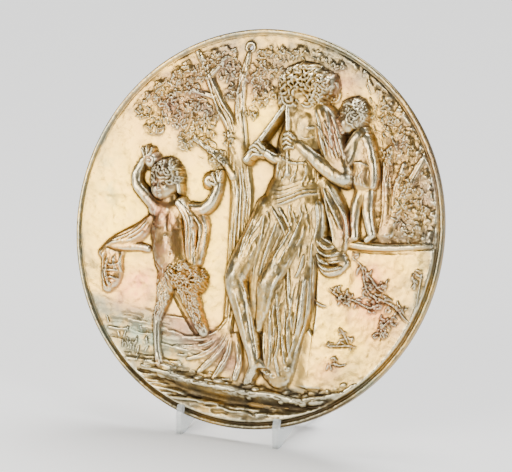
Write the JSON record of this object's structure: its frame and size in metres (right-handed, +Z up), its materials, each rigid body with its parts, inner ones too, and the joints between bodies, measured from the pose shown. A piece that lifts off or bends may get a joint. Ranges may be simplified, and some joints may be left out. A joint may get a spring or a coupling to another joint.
{
  "type": "round relief plaque on a plate stand",
  "caption": "Round cast-brass wall plaque with a pastoral scene in high relief, a raised border and a hollowed back, leaning in a clear acrylic plate stand.",
  "frame": {"origin": "middle of the bounding box, on the surface that the stand's feet rest on", "axes": "+X to the right of someone facing the relief, +Y away from them towards the back of the stand, +Z up"},
  "size_m": [0.34, 0.119, 0.3357],
  "materials": {
    "brass": "cast brass, satin, pale gold with copper-pink and olive patina and brown in the hollows",
    "acrylic": "clear acrylic sheet with polished edges"
  },
  "bodies": {
    "root": {"plaque": "brass", "side_plate_left": "acrylic", "side_plate_right": "acrylic", "cross_bar": "acrylic"}
  },
  "joints": []
}
